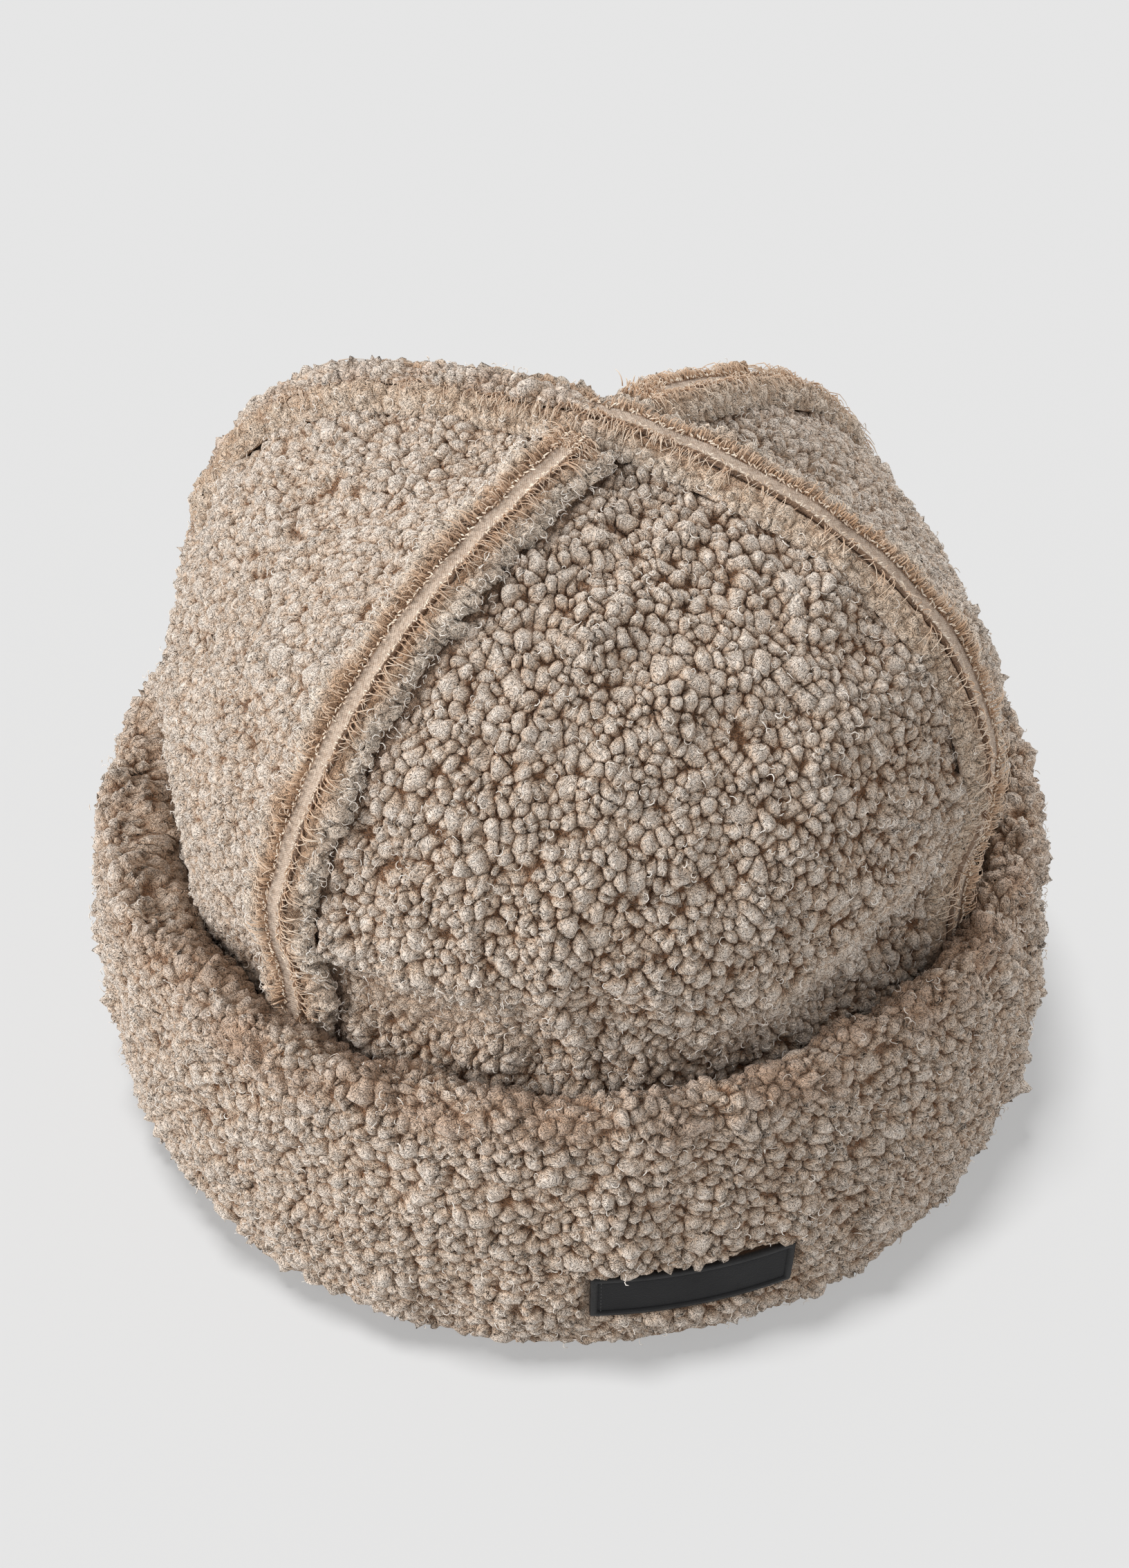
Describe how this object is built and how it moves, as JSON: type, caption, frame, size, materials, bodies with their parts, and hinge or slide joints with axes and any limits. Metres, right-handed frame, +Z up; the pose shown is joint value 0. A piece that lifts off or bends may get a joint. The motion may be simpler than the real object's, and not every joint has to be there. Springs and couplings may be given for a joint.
{
  "type": "beanie",
  "caption": "Pile fleece beanie with a domed crown of sewn panels, raised taped seams, a deep turned-up cuff and a plain patch on the cuff.",
  "frame": {"origin": "middle of the beanie's outline seen from above, on the surface that it stands on", "axes": "+X towards the right side of the front view, -Y out of the front, +Z up to the crown"},
  "size_m": [0.2316, 0.2266, 0.1989],
  "materials": {
    "fleece": "pale beige curly pile, brown at its roots",
    "cut_pile": "cut edge of the pile, brown with pale curled tips",
    "tape": "flat beige seam with a row of stitches at each edge",
    "patch": "soft matt black rubber"
  },
  "bodies": {
    "root": {"panel_front": "fleece", "panel_right": "fleece", "panel_back": "fleece", "panel_left": "fleece", "cuff": "fleece", "seam_welt_long": "cut_pile", "seam_welt_front_left": "cut_pile", "seam_welt_back_right": "cut_pile", "seam_tape_long": "tape", "seam_tape_front_left": "tape", "seam_tape_back_right": "tape", "patch": "patch"}
  },
  "joints": []
}
